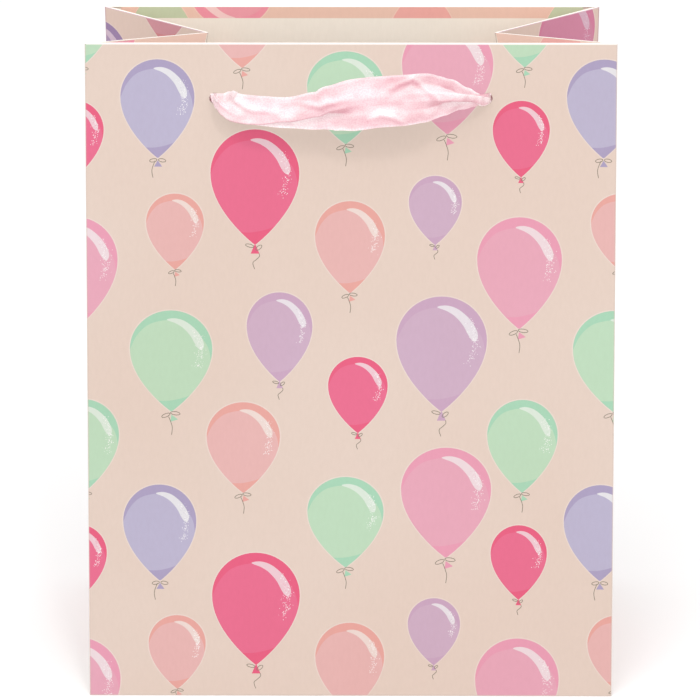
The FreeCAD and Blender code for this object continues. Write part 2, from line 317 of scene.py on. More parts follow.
# ---------------------------------------------------------------- the print
NOTCH_LOW, NOTCH_FADE = 215, 85   # where the shade in the gusset notch starts, and its reach
PRINT_GAIN = 0.715                # share of the light that an ink's full screen colour gives back
EDGE_WIDTH = {"rim": 0.42, "crease": 0.45}    # width of the line painted along a paper's side: worn white at a rim, painted shade along a crease
HALO_WIDTH = 0.55                 # unprinted line round each balloon
STRING_WIDTH = 0.34
HOLE_SIDES = 28
GROUND = (229, 208, 195)
CREAM = (238, 229, 217)
SCUFF = (255, 249, 244)
CREASE_SHADE = (206, 188, 178)
HALO = (235, 217, 207)
STRING = (132, 125, 110)
SPARK = (255, 252, 252)
# Colour names: (shaded rim of the balloon, its lit face, highlight).
INKS = {
    "blue": ((172, 160, 193), (188, 181, 207), (230, 228, 232)),
    "lilac": ((202, 166, 192), (206, 174, 196), (232, 224, 230)),
    "hot": ((232, 92, 128), (233, 107, 142), (238, 202, 210)),
    "pink": ((233, 157, 180), (231, 167, 185), (238, 218, 222)),
    "peach": ((232, 167, 158), (231, 181, 178), (238, 218, 211)),
    "green": ((168, 213, 183), (190, 219, 189), (220, 232, 218)),
}
# Style of the bow under each colour.
BOWS = {"blue": "level", "lilac": "droop", "hot": "droop", "pink": "tilt", "peach": "tilt",
        "green": "tilt"}
# One repeat of the print: (ink, middle, top, width, height without the knot). The middle is
# counted from the front's middle and the top from the base crease.
REPEAT = (222.9, 213.9)
OUT_OF_STEP = {(4, -1): 1.6}      # one balloon's copy at the left edge is printed further right
BALLOONS = [
    ("blue", -96.6, 322.4, 37, 49), ("peach", -54.2, 150.4, 37, 46),
    ("green", -2.6, 326.4, 38.5, 46), ("pink", 48.2, 341.4, 45.5, 56),
    ("green", 86.6, 151.8, 35.5, 47), ("hot", 85.1, 301.9, 28.5, 38),
    ("hot", -48, 287.6, 44.5, 57.5), ("peach", -88.1, 255.5, 29, 38),
    ("peach", -0.4, 251.8, 35, 46), ("lilac", 42.3, 264.5, 26.5, 34.5),
    ("pink", 84.6, 243.8, 42.5, 56), ("green", -90.4, 196.8, 41.5, 51),
    ("lilac", -35.8, 206, 33, 45), ("hot", 3.6, 173.5, 30, 38.5),
    ("lilac", 45.7, 204, 45.5, 58),
]
WIDEST = 0.38                     # where a balloon is widest, as a share of its height


def rounded(points, steps=5):
    """A closed curve through points."""
    n, curve = len(points), []
    for i in range(n):
        a, b, c, d = (Vector(points[(i + k) % n]) for k in (-1, 0, 1, 2))
        curve += [curve_at(a, b, c, d, k / steps) for k in range(steps)]
    return [(p.x, p.y) for p in curve]


def balloon_outline():
    """Half widths run from -1 to 1, and depth from 0 at the top to 1 at the tip."""
    side = []
    for i in range(14):
        a = math.pi / 2 * i / 14
        side.append((math.sin(a), WIDEST * (1 - math.cos(a))))
    for i in range(13):
        t = i / 12
        side.append((max(0.02, math.cos(math.pi / 2 * t) ** 0.85), WIDEST + (1 - WIDEST) * t))
    return side + [(-x, y) for x, y in reversed(side[1:])]


OUTLINE = balloon_outline()
# The lit face and the highlight, in half widths and shares of the height.
LIT = rounded([(-1.05, 0.45), (-0.98, 0.37), (-0.83, 0.25), (-0.58, 0.15), (-0.27, 0.105),
               (0.05, 0.1), (0.45, 0.16), (0.72, 0.26), (0.9, 0.37), (0.96, 0.5), (0.93, 0.62),
               (0.8, 0.75), (0.45, 0.842), (0.1, 0.885), (-0.2, 0.896), (-0.5, 0.872),
               (-0.95, 0.7)])
GLINT = rounded([(-0.1, 0.092), (0.1, 0.078), (0.35, 0.108), (0.6, 0.188), (0.75, 0.275),
                 (0.8, 0.345), (0.75, 0.39), (0.66, 0.375), (0.58, 0.33), (0.47, 0.25),
                 (0.3, 0.175), (0.12, 0.128)])
# The bow, string and tag under a balloon, in half widths from its tip. A bow's loop is a
# middle, two radii and an angle in degrees.
LOOPS = {"tilt": (((-0.135, 0.1), 0.11, 0.042, -22), ((0.095, 0.05), 0.12, 0.042, 8)),
         "level": (((-0.12, 0.07), 0.105, 0.045, -10), ((0.12, 0.07), 0.105, 0.045, 10)),
         "droop": (((-0.12, 0.03), 0.1, 0.035, 14), ((0.085, 0.075), 0.085, 0.04, -38))}
STRINGS = {"tilt": [(-0.07, 0.13), (-0.02, 0.25), (0.02, 0.4), (0.0, 0.58)],
           "level": [(-0.07, 0.08), (-0.14, 0.25), (-0.16, 0.38), (-0.13, 0.54)],
           "droop": [(0.09, 0.2), (0.1, 0.27), (0.02, 0.35), (-0.05, 0.42), (-0.01, 0.56)]}
TAGS = {"tilt": [(0.0, 0.08), (-0.03, 0.26), (0.16, 0.2)],
        "level": [(0.0, 0.07), (-0.1, 0.24), (0.12, 0.24)],
        "droop": [(0.0, -0.02), (-0.1, 0.21), (0.1, 0.21)]}


def stroke(points, width, closed=False):
    """A thin line as separate four-sided pieces."""
    pieces, count = [], len(points)
    for i in range(count if closed else count - 1):
        a, b = Vector(points[i]), Vector(points[(i + 1) % count])
        step = b - a
        if step.length < 1e-6:
            continue
        side = Vector((-step.y, step.x)).normalized() * width / 2
        pieces.append([tuple(a - side), tuple(b - side), tuple(b + side), tuple(a + side)])
    return pieces


def open_curve(points, steps=4):
    """A smooth line through points."""
    padded = [points[0]] + points + [points[-1]]
    curve = []
    for i in range(1, len(points)):
        a, b, c, d = (Vector(padded[i + k - 1]) for k in range(4))
        curve += [tuple(curve_at(a, b, c, d, k / steps)) for k in range(steps)]
    return curve + [points[-1]]


def balloon(ink, middle, top, width, height, seed):
    """One balloon's painted regions, lowest first: (outline in print mm, colour, inside which)."""
    rim, face, glint = INKS[ink]
    half, style, dice = width / 2, BOWS[ink], random.Random(seed)
    tip = top - height

    def place(points):
        return [(middle + x * half, top - y * height) for x, y in points]

    def hang(points):
        return [(middle + x * half, tip - y * half) for x, y in points]

    body = place(OUTLINE)
    wider, taller = 1 + HALO_WIDTH / half, 1 + 2 * HALO_WIDTH / height
    halo = [(middle + (x - middle) * wider, top + HALO_WIDTH - (top - y) * taller)
            for x, y in body]
    regions = [(halo, HALO, None), (body, rim, None), (place(LIT), face, 1),
               (place(GLINT), glint, 1)]
    for k in range(int(34 + 2.2 * width)):
        along = dice.random()
        x = 0.54 + 0.19 * math.sin(0.4 + along * 2.3) + dice.gauss(0, 0.055)
        y = 0.2 + 0.37 * along + dice.gauss(0, 0.012)
        size = dice.uniform(0.12, 0.25)
        cx, cy = place([(x, y)])[0]
        dot = [(cx - size, cy), (cx, cy - size), (cx + size, cy), (cx, cy + size)]
        regions.append((dot, SPARK if k % 3 or along > 0.45 else mixed(face, glint, 0.35), 1))
    regions.append((hang(TAGS[style]), rim, None))
    for (cx, cy), long, short, angle in LOOPS[style]:
        ring, turn = [], Matrix.Rotation(math.radians(angle), 2)
        for i in range(9):
            a = math.tau * i / 9
            p = turn @ Vector((long * math.cos(a), short * math.sin(a)))
            ring.append((cx + p.x, cy + p.y))
        regions += [(quad, STRING, None) for quad in stroke(hang(ring), STRING_WIDTH, True)]
    string = hang(open_curve(STRINGS[style]))
    return regions + [(quad, STRING, None) for quad in stroke(string, STRING_WIDTH)]


def balloons_over(low, high):
    """Every repeat of every balloon that may reach into a print rectangle."""
    found = []
    for index, (ink, middle, top, width, height) in enumerate(BALLOONS):
        reach = width / 2 + 1
        for i in range(math.floor((low[0] - middle - reach) / REPEAT[0]),
                       math.ceil((high[0] - middle + reach) / REPEAT[0]) + 1):
            for j in range(math.floor((low[1] - top) / REPEAT[1]),
                           math.ceil((high[1] - top + height * 1.3) / REPEAT[1]) + 1):
                x = middle + i * REPEAT[0] + OUT_OF_STEP.get((index, i), 0.0)
                y = top + j * REPEAT[1]
                if x + reach < low[0] or x - reach > high[0] or y < low[1] - 1 \
                        or y - height * 1.3 > high[1]:
                    continue
                found.append(balloon(ink, x, y, width, height, index + 31 * i + 57 * j))
    return found


# ---------------------------------------------------------------- painted paper
def affine(source, target):
    """The map of the plane that takes three points to three others."""
    matrix = Matrix([(x, y, 1) for x, y in source]).inverted()
    rows = [matrix @ Vector([p[k] for p in target]) for k in (0, 1)]
    return lambda p: tuple(r[0] * p[0] + r[1] * p[1] + r[2] for r in rows)


def area_of(points):
    return sum(points[i - 1][0] * points[i][1] - points[i][0] * points[i - 1][1]
               for i in range(len(points))) / 2


def inside(point, outline):
    x, y = point
    hit = False
    for i in range(len(outline)):
        (x0, y0), (x1, y1) = outline[i - 1], outline[i]
        if (y0 > y) != (y1 > y) and x < (x1 - x0) * (y - y0) / (y1 - y0) + x0:
            hit = not hit
    return hit


def inked(colour, gain):
    """A printed colour as a surface colour. A gain of six numbers holds the bare print's and the
    balloons' own."""
    part = gain[:3] if colour in (GROUND, HALO) else gain[-3:]
    return [min(0.97, g * x) for g, x in zip(part, linear(colour))]


def arc_chain(kind, gap):
    """(outward, lift) steps that close a paper edge, from its outer to its inner face."""
    if kind == "crease":
        return [(PAPER * math.sin(a), PAPER * math.cos(a)) for a in map(math.radians, (30, 60, 90))]
    if kind == "rim":
        outer, inner = PAPER + gap / 2, gap / 2
        chain = [(outer * math.sin(a), -gap / 2 + outer * math.cos(a))
                 for a in map(math.radians, (30, 60, 90, 120, 150, 180))]
        if gap:
            chain += [(inner * math.sin(a), -gap / 2 + inner * math.cos(a))
                      for a in map(math.radians, (180, 120, 60))]
        return chain
    return []


def corners_of(points):
    """The lowest and highest corner of the box round points."""
    return [[pick(p[k] for p in points) for k in (0, 1)] for pick in (min, max)]


def painted_regions(outline, kinds, to_print, bleed, holes):
    """What is on a sheet, lowest first: (outline, colour or kind of edge, which regions it
    must lie in)."""
    regions = [(outline, CREAM if bleed else GROUND, None)]
    if bleed:
        regions.append((bleed, GROUND, None))
    base = len(regions) - 1
    forward, backward = affine(*to_print), affine(to_print[1], to_print[0])
    for drawing in balloons_over(*corners_of([forward(p) for p in (bleed or outline)])):
        first = len(regions)
        for points, colour, within in drawing:
            local = [backward(p) for p in points]
            parents = [base] if within is None else [base, first + within]
            regions.append((local, colour, parents))
    # A thin line along each side: worn white at a rim, painted shade along a crease.
    for i, kind in enumerate(kinds):
        a, b = Vector(outline[i]), Vector(outline[(i + 1) % len(outline)])
        inward = Vector((-(b - a).y, (b - a).x)).normalized()
        width = EDGE_WIDTH.get(kind)
        if width:
            edge_mark = [tuple(a), tuple(b), tuple(b + inward * width), tuple(a + inward * width)]
            regions.append((edge_mark, kind, None))
    for cx, cy in holes:
        angles = [math.tau * i / HOLE_SIDES for i in range(HOLE_SIDES)]
        circle = [(cx + HOLE_R * math.cos(a), cy + HOLE_R * math.sin(a)) for a in angles]
        regions.append((circle, "hole", None))
    return regions


def paper_piece(name, body, plane, outline, kinds, to_print, bleed=None, holes=(), gap=0.0,
                warp=None, grid=14.0, gain=(PRINT_GAIN,) * 3, deep=None, replaces=()):
    """A painted sheet of paper. outline runs anticlockwise in the plane, kinds names each side:
    crease, rim or cut. to_print gives the print's place of three of the plane's points. Print
    is only inside bleed where that is given. deep is the gain high up in a shaded notch."""
    if area_of(outline) < 0:
        outline, kinds = outline[::-1], kinds[-2::-1] + kinds[-1:]
    regions = painted_regions(outline, kinds, to_print, bleed, holes)
    points, faces = [], []
    for shape, _, _ in regions:
        if area_of(shape) < 0:
            shape = shape[::-1]
        faces.append(list(range(len(points), len(points) + len(shape))))
        points += [Vector(p) for p in shape]
    low, high = corners_of(outline)
    for i in range(1, int((high[0] - low[0]) / grid)):
        for j in range(1, int((high[1] - low[1]) / grid)):
            p = (low[0] + (i + 0.5 * (j % 2)) * grid, low[1] + j * grid)
            if inside(p, outline):
                points.append(Vector(p))
    flat, _, triangles, _, _, owners = delaunay_2d_cdt(points, [], faces, 1, 1e-5)

    kept, colours = [], []
    for triangle, owned in zip(triangles, owners):
        owned = set(owned)
        if 0 not in owned or any(regions[k][1] == "hole" for k in owned):
            continue
        if abs(area_of([flat[k] for k in triangle])) < 1e-6:
            continue
        paint, edge_wear_and_shade = regions[0][1], None
        for k in sorted(owned):
            colour, parents = regions[k][1], regions[k][2]
            if isinstance(colour, str):
                edge_wear_and_shade = colour
            elif parents is None or all(p in owned for p in parents):
                paint = colour
        # A rim's fold is worn white; along a crease the print is darkened as painted shade.
        if edge_wear_and_shade == "rim":
            paint = mixed(paint, SCUFF, 0.85)
        elif edge_wear_and_shade == "crease":
            paint = mixed(paint, CREASE_SHADE, 0.3)
        if area_of([flat[k] for k in triangle]) < 0:
            triangle = triangle[::-1]
        kept.append(tuple(triangle))
        colours.append(paint)

    used = sorted({k for t in kept for k in t})
    number = {k: i for i, k in enumerate(used)}
    count = len(used)
    bend = warp or (lambda x, y: 0.0)
    vertices = [plane.at(*flat[k], PAPER + bend(*flat[k])) for k in used]
    vertices += [plane.at(*flat[k], bend(*flat[k])) for k in used]
    heights = [flat[k][1] for k in used] * 2
    polygons = [tuple(number[k] for k in t) for t in kept]
    deep = deep or gain
    white = (*linear(CREAM), 0.0)
    shades = [white if c == CREAM else (inked(c, gain), inked(c, deep)) for c in colours]
    # The rounded bead of a crease is painted a paler tone.
    edge_mark = mixed(GROUND, SCUFF, 0.35)
    corner = (inked(edge_mark, gain), inked(edge_mark, deep))
    edge_white = (*linear(SCUFF), 0.0)
    polygons += [tuple(count + k for k in reversed(p)) for p in polygons[:]]
    shades += [white] * len(kept)
    sides = {}
    for t in kept:
        for a, b in ((t[0], t[1]), (t[1], t[2]), (t[2], t[0])):
            if (b, a) in sides:
                del sides[(b, a)]
            else:
                sides[(a, b)] = True
    rings = {}
    for a, b in sides:
        middle = (flat[a] + flat[b]) / 2
        best, which = 0.02, None
        for i in range(len(outline)):
            p, q = Vector(outline[i]), Vector(outline[(i + 1) % len(outline)])
            along = (q - p).normalized()
            away = abs((middle - p).x * along.y - (middle - p).y * along.x)
            if away < best and -0.01 < (middle - p).dot(along) < (q - p).length + 0.01:
                best, which = away, i
        kind = kinds[which] if which is not None else "cut"
        chain = arc_chain(kind, gap)
        if which is not None:
            p, q = Vector(outline[which]), Vector(outline[(which + 1) % len(outline)])
            outward = Vector(((q - p).y, -(q - p).x)).normalized()
        for k in (a, b):
            if (k, kind, which) not in rings:
                ring = [number[k]]
                for step, lift in chain:
                    ring.append(len(vertices))
                    place = flat[k] + outward * step
                    vertices.append(plane.at(*place, lift + bend(*flat[k])))
                    heights.append(flat[k][1])
                ring.append(count + number[k])
                rings[(k, kind, which)] = ring
        first, second = rings[(a, kind, which)], rings[(b, kind, which)]
        for k in range(len(first) - 1):
            polygons.append((first[k], first[k + 1], second[k + 1], second[k]))
            shades.append(corner if kind == "crease" else edge_white)

    mesh = bpy.data.meshes.new(name)
    mesh.from_pydata(vertices, [], polygons)
    paint = mesh.attributes.new("paint", "FLOAT_COLOR", "CORNER")
    values = []
    for polygon, shade in zip(mesh.polygons, shades):
        if len(shade) == 4:
            values += list(shade) * polygon.loop_total
            continue
        for k in polygon.vertices:
            values += [*mixed(*shade, eased((heights[k] - NOTCH_LOW) / NOTCH_FADE)), 1.0]
    paint.data.foreach_set("color", values)
    mesh.polygons.foreach_set("use_smooth", [True] * len(mesh.polygons))
    mesh.set_sharp_from_angle(angle=math.radians(42))
    mesh.materials.append(PAPER_LOOK)
    piece = add_object(name, mesh)
    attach(piece, body)
    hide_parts(*replaces)


def soft_wall(seed, size):
    """Slight outward swelling of a wall, none along the creases and the stiffened rim."""
    def bend(x, y):
        edge = max(0.0, min(1.0, (HALF - abs(x)) / 45)) * max(0.0, min(1.0, y / 30))
        wave = 0.5 + 0.5 * noise.noise(Vector((x / 95, y / 110, seed)))
        return size * wave * eased(edge) * eased((HEIGHT - 46 - y) / 60)
    return bend


# Place in the print at each side's front crease, fold point and back crease.
LEFT_PRINT = (-159.5, -249.0, -316.0)
RIGHT_PRINT = (132.5, 214.5, 296.9)
BACK_SHIFT = 429.4
TURN_MARGIN = 8.5                 # the turned-in rim stops short of the creases
WING_MARGIN = 4.0
# Gains where light bounces between close papers: the back wings lie in the shade of the
# folded gusset, and the turned-in rims take up its warm colour.
NOTCH_GAIN = (0.74, 0.71, 0.71, 0.62, 0.49, 0.58)
BACK_HEM_GAIN = (1.01, 0.83, 0.77)
WING_HEM_GAIN = (1.02, 0.89, 0.87)

for name, wall, shift, seed in (("front", FRONT, 0.0, 3.1), ("back", BACK, BACK_SHIFT, 8.7)):
    body = name + "_wall"
    hole_y = HEIGHT - HOLE_DROP
    holes = [(-HOLE_X, hole_y), (HOLE_X, hole_y)]
    square = [(-HALF, PAPER), (HALF, PAPER), (HALF, HEIGHT), (-HALF, HEIGHT)]
    paper_piece(name + "_panel_paper", body, wall, square, ["crease", "crease", "rim", "crease"],
                ([(0, 0), (1, 0), (0, 1)], [(shift, 0), (shift + 1, 0), (shift, 1)]),
                holes=holes, gap=CARD, warp=soft_wall(seed, 0.9), replaces=[name + "_panel"])
    inner = wall.turned(-CARD)
    reach, low = HALF - TURN_MARGIN, HEIGHT - TURN_DEPTH
    paper_piece(name + "_rim_turn_in_paper", body, inner,
                [(-reach, low), (reach, low), (reach, HEIGHT), (-reach, HEIGHT)],
                ["cut", "cut", "cut", "cut"],
                ([(0, 0), (1, 0), (0, 1)],
                 [(shift, 2 * HEIGHT), (shift - 1, 2 * HEIGHT), (shift, 2 * HEIGHT - 1)]),
                bleed=[(-reach, HEIGHT - BLEED), (reach, HEIGHT - BLEED), (reach, HEIGHT),
                       (-reach, HEIGHT)],
                holes=holes, grid=30, gain=BACK_HEM_GAIN, replaces=[name + "_rim_turn_in"])

for name, side, corner_y, up, walk, prints in (
        ("right_front", 1, FRONT_Y, front_up, 1, RIGHT_PRINT),
        ("right_back", 1, BACK_Y, back_up, -1, RIGHT_PRINT[::-1]),
        ("left_back", -1, BACK_Y, back_up, 1, LEFT_PRINT[::-1]),
        ("left_front", -1, FRONT_Y, front_up, -1, LEFT_PRINT)):
    corner = Vector((side * HALF, corner_y, 0))
    apex = Vector((side * APEX.x, APEX.y, APEX.z))
    rise = (apex - corner).dot(up)
    across = apex - corner - up * rise
    reach = across.length * walk
    plane = Plane(corner, across.normalized() * walk, up)
    low = 1.0                     # the pointed lower end starts here
    slope = reach / rise
    triangle = [(slope * low * 0.1, low), (slope * low, low), (reach, rise), (0, HEIGHT)]
    kinds = ["cut", "crease", "rim", "crease"]
    spots = ([(0, 0), (0, HEIGHT), (reach, rise)],
             [(prints[0], 0), (prints[0], HEIGHT), (prints[1], HEIGHT)])
    deep = NOTCH_GAIN if name.endswith("back") else None
    paper_piece(name + "_gusset_paper", name + "_wing", plane, triangle, kinds, spots,
                grid=16, deep=deep, replaces=[name + "_gusset"])
    down = HEIGHT - TURN_DEPTH
    inset = walk * WING_MARGIN
    near = reach - walk * 0.5
    inner = [(inset, down), (slope * down - inset, down), (near, rise), (inset, HEIGHT)]
    low_line = [(inset, HEIGHT - BLEED), (near, rise - BLEED), (reach, rise + 1),
                (inset, HEIGHT + 1)]
    turned = plane.turned(0.0)

    def flip(points):
        return [(-x, y) for x, y in points]

    # Above the rim line the print folds down inside, so it is mirrored about that line.
    rim_dir = Vector((reach, rise - HEIGHT)).normalized()
    below = [(0, HEIGHT), (reach, rise), (rim_dir.y * 10, HEIGHT - rim_dir.x * 10)]
    if below[2][1] > HEIGHT:
        below[2] = (-below[2][0], 2 * HEIGHT - below[2][1])
    spots = (flip(below), [(prints[0], HEIGHT), (prints[1], HEIGHT), (prints[0], HEIGHT + 10)])
    paper_piece(name + "_gusset_turn_in_paper", name + "_wing", turned, flip(inner),
                ["cut", "cut", "cut", "cut"], spots, bleed=flip(low_line), grid=30,
                gain=WING_HEM_GAIN, replaces=[name + "_gusset_turn_in"])

for name, side, prints in (("right", 1, RIGHT_PRINT), ("left", -1, LEFT_PRINT[::-1])):
    lean = math.atan2(HALF - APEX.x, APEX.z)
    length = math.hypot(HALF - APEX.x, APEX.z)
    plane = Plane((side * HALF, 0, 0), (0, side, 0), (-side * math.sin(lean), 0, math.cos(lean)))
    tip = side * APEX.y
    # The fold pushed in down the middle of the gusset leaves a soft valley.

    def valley(x, y, tip=tip, length=length):
        share = y / length
        middle = tip * share
        half = BACK_Y * (1 - share) + 1e-6
        near = max(0.0, 1 - abs(x - middle) / half)
        return -3.2 * near * math.sin(math.pi * min(1.0, share)) ** 0.8

    outline = [(-BACK_Y + 0.2, PAPER), (0, PAPER), (BACK_Y - 0.2, PAPER), (tip + 0.2, length - 1),
               (tip - 0.2, length - 1)]
    paper_piece(name + "_gusset_centre_paper", name + "_centre", plane, outline,
                ["crease", "crease", "crease", "cut", "crease"],
                ([(-BACK_Y, 0), (BACK_Y, 0), (tip, length)],
                 [(prints[0], 0), (prints[2], 0), (prints[1], HEIGHT)]),
                warp=valley, grid=9, replaces=[name + "_gusset_centre"])


def hull(node):
    """The outline of a flat floor piece, in millimetres."""
    points = [Vector((v.co.x / MM, v.co.y / MM)) for v in frame["nodes"][node].data.vertices]
    ring = [points[k] for k in convex_hull_2d(points)]
    keep = []
    for i, p in enumerate(ring):
        a, b = p - ring[i - 1], ring[(i + 1) % len(ring)] - p
        if a.length > 0.01 and abs(a.x * b.y - a.y * b.x) > 1e-3 * a.length * b.length:
            keep.append(p)
    return keep


for name, y, along, shift in (("front", FRONT_Y, 1, 0.0), ("back", BACK_Y, -1, BACK_SHIFT)):
    node = name + "_bottom_flap"
    plane = Plane((0, y, PAPER), (along, 0, 0), (0, -along, 0))
    ring = [(p.x * along, (p.y - y) * -along) for p in hull(node)]
    lip = (lambda x, v: 0.0) if name == "front" else \
        (lambda x, v: -PAPER * max(0.0, min(1.0, (-v - 59.6) / 0.5)))
    paper_piece(node + "_paper", "base", plane, ring, ["cut"] * len(ring),
                ([(0, 0), (1, 0), (0, 1)], [(shift, 0), (shift + 1, 0), (shift, 1)]),
                warp=lip, grid=12, replaces=[node])

# ---------------------------------------------------------------- ribbons
RIBBON = 26.0                     # width, drawn a little over its nominal 25
RIBBON_THICK = 0.28
PLEATS = 2.5                      # folds across the tails at the knots
SATIN = (219, 187, 190)
# Painted shade where the cloth faces down, away from the lights, and between the knot's ridges.
SATIN_PAINTED_SHADE = (216, 148, 163)
# Painted sheen: mottled pale patches, both edges of the cloth and the knot's ridges.
SATIN_PAINTED_SHEEN = (239, 229, 228)
SATIN_PAINTED_HIGHLIGHT = (255, 252, 251)     # painted highlight where the cloth faces up towards the lights


def between(keys, place):
    """Smooth value at place, from (place, value) keys in order."""
    if place <= keys[0][0]:
        return keys[0][1]
    for (x0, y0), (x1, y1) in zip(keys, keys[1:]):
        if place <= x1:
            t = (place - x0) / (x1 - x0)
            return y0 + (y1 - y0) * t * t * (3 - 2 * t)
    return keys[-1][1]


def spline_points(points, count):
    """Evenly spaced points on a smooth line through points."""
    dense = []
    padded = [points[0] * 2 - points[1]] + points + [points[-1] * 2 - points[-2]]
    for i in range(1, len(points)):
        a, b, c, d = padded[i - 1:i + 3]
        dense += [curve_at(a, b, c, d, k / 24) for k in range(24)]
    dense.append(points[-1])
    lengths = [0.0]
    for a, b in zip(dense, dense[1:]):
        lengths.append(lengths[-1] + (b - a).length)
    even, k = [], 0
    for i in range(count):
        goal = lengths[-1] * i / (count - 1)
        while k < len(dense) - 2 and lengths[k + 1] < goal:
            k += 1
        t = (goal - lengths[k]) / max(1e-9, lengths[k + 1] - lengths[k])
        even.append(dense[k].lerp(dense[k + 1], t))
    return even


def strip(line, wide, front, bend_at, columns=44, ruffle=0.0, seed=0.0, cut=None, pinch=None,
          crease=None):
    """A ribbon of points along line. wide is the direction across it and front the one it
    faces. bend_at(i, v) gives the angle of the cloth across the width at row i, v from -1 to 1.
    cut is how far a slanted end runs past a square one. pinch(i) crushes the cloth where it is
    squeezed through a hole, and crease(i, v) lifts it along its wrinkles."""
    rows, shades, strip_place = [], [], []
    travelled = 0.0
    for i, centre in enumerate(line):
        if i:
            travelled += (centre - line[i - 1]).length
        tangent = (line[min(i + 1, len(line) - 1)] - line[max(i - 1, 0)]).normalized()
        across = (wide - tangent * wide.dot(tangent)).normalized()
        face = tangent.cross(across)
        if face.dot(front) < 0:
            face = -face
        step = RIBBON / (columns - 1)
        spots, heading = [Vector((0, 0))], []
        for c in range(columns):
            v = 2 * c / (columns - 1) - 1
            heading.append(bend_at(i, v))
            if c:
                angle = (heading[-1] + heading[-2]) / 2
                spots.append(spots[-1] + Vector((math.cos(angle), math.sin(angle))) * step)
        low, high = min(p.x for p in spots), max(p.x for p in spots)
        middle = Vector(((low + high) / 2, sum(p.y for p in spots) / columns))
        row, lifts = [], []
        crush = pinch(i) if pinch else 1.0
        for c in range(columns):
            v = 2 * c / (columns - 1) - 1
            away = noise.noise(Vector((travelled / 16, v * 1.3, seed))) * ruffle
            away += noise.noise(Vector((travelled / 6.5, v * 2.6, seed + 5))) * ruffle * 0.5
            lifts.append(away + (crease(i, v) if crease else 0.0))
        for c, spot in enumerate(spots):
            v = 2 * c / (columns - 1) - 1
            row.append(centre + across * (spot.x - middle.x) * crush
                       + face * ((spot.y - middle.y) * crush + lifts[c] * crush * crush))
            # Painted shade where the cloth faces down and away from the lights, painted highlight
            # where it faces up towards them.
            rise = lifts[min(c + 1, columns - 1)] - lifts[max(c - 1, 0)]
            tone = math.sin(heading[c] + math.atan2(rise, 2 * step))
            # Painted sheen: paler mottled patches where crumpled satin catches the light, and a
            # painted highlight along both edges.
            painted_sheen = 0.5 + 0.6 * noise.noise(Vector((travelled / 17, v * 1.5, seed + 9)))
            painted_sheen += 0.35 * noise.noise(Vector((travelled / 5, v * 3.2, seed + 3)))
            painted_sheen = max(0.0, min(1.0, painted_sheen + 0.8 * max(0.0, abs(v) - 0.88) / 0.12))
            shade = mixed(SATIN, SATIN_PAINTED_SHEEN, painted_sheen)
            if tone > 0:
                shade = mixed(shade, SATIN_PAINTED_SHADE, 0.8 * tone ** 0.8 * (1.1 - 0.5 * painted_sheen))
            else:
                shade = mixed(shade, SATIN_PAINTED_HIGHLIGHT, 0.62 * (-tone) ** 0.8)
            shades.append(shade)
            strip_place.append((travelled * MM, v * RIBBON / 2 * MM, seed))
        rows.append(row)
    if cut:
        last = rows[-1]
        for c in range(columns):
            v = 2 * c / (columns - 1) - 1
            last[c] = last[c] + (rows[-1][c] - rows[-2][c]).normalized() * cut * v
    return rows, shades, strip_place


def add_sheet(parts, rows, shades, strip_place):
    """Adds a closed thin sheet to parts: both faces and the edges between them."""
    vertices, polygons, colours, places = parts
    count, columns, start = len(rows), len(rows[0]), len(vertices)
    normals = []
    for i in range(count):
        for c in range(columns):
            a = rows[min(i + 1, count - 1)][c] - rows[max(i - 1, 0)][c]
            b = rows[i][min(c + 1, columns - 1)] - rows[i][max(c - 1, 0)]
            normals.append(a.cross(b).normalized())
    flat = [p for row in rows for p in row]
    for sign in (0.5, -0.5):
        vertices += [(p + n * RIBBON_THICK * sign) * MM for p, n in zip(flat, normals)]
        colours += shades
        places += strip_place
    size = count * columns

    def index(i, c, side):
        return start + i * columns + c + side * size

    for i in range(count - 1):
        for c in range(columns - 1):
            corner = [(i, c), (i + 1, c), (i + 1, c + 1), (i, c + 1)]
            polygons.append([index(*k, 0) for k in corner])
            polygons.append([index(*k, 1) for k in reversed(corner)])
    ring = [(i, 0) for i in range(count)] + [(count - 1, c) for c in range(1, columns)] \
        + [(i, columns - 1) for i in range(count - 2, -1, -1)] \
        + [(0, c) for c in range(columns - 2, 0, -1)]
    for k in range(len(ring)):
        a, b = ring[k], ring[(k + 1) % len(ring)]
        polygons.append([index(*b, 0), index(*a, 0), index(*a, 1), index(*b, 1)])


def satin_object(name, parts):
    vertices, polygons, colours, places = parts
    mesh = bpy.data.meshes.new(name)
    mesh.from_pydata(vertices, [], polygons)
    paint = mesh.attributes.new("paint", "FLOAT_COLOR", "POINT")
    paint.data.foreach_set("color", [c for shade in colours for c in (*linear(shade), 1.0)])
    along = mesh.attributes.new("strip", "FLOAT_VECTOR", "POINT")
    along.data.foreach_set("vector", [c for place in places for c in place])
    mesh.polygons.foreach_set("use_smooth", [True] * len(mesh.polygons))
    mesh.set_sharp_from_angle(angle=math.radians(60))
    mesh.materials.append(SATIN_LOOK)
    piece = add_object(name, mesh)
    return piece


# How the front handle lies, by millimetres across from its middle. Two tucks run along it: the
# lower one folds forward over the bottom edge, the upper one folds back. A tuck starts at some
# distance from the bottom edge, takes up some cloth, and is turned over by an angle.
TUCK_TURN = 1.6
LOWER_START = [(-68, 5.3), (-57, 5.4), (-46, 5.8), (-32, 8.4), (-16, 9.4), (6, 9.0), (40, 7.0),
               (58, 7.0), (67, 5.2)]
LOWER_CLOTH = [(-68, 5.3), (-57, 5.8), (-32, 5.2), (-16, 4.0), (6, 4.0), (40, 4.8), (58, 4.8),
               (67, 5.6)]
LOWER_TURN = [(-32, 3.14), (-16, 2.3), (-9, 1.2), (3, 0.2), (22, 0.1), (36, 0.35), (48, 1.2),
              (57, 2.0), (62.4, 2.6), (66, 3.14)]
UPPER_START = 15.7
UPPER_CLOTH = [(-68, 5.3), (-60, 4.6), (58, 4.6), (67, 5.4)]
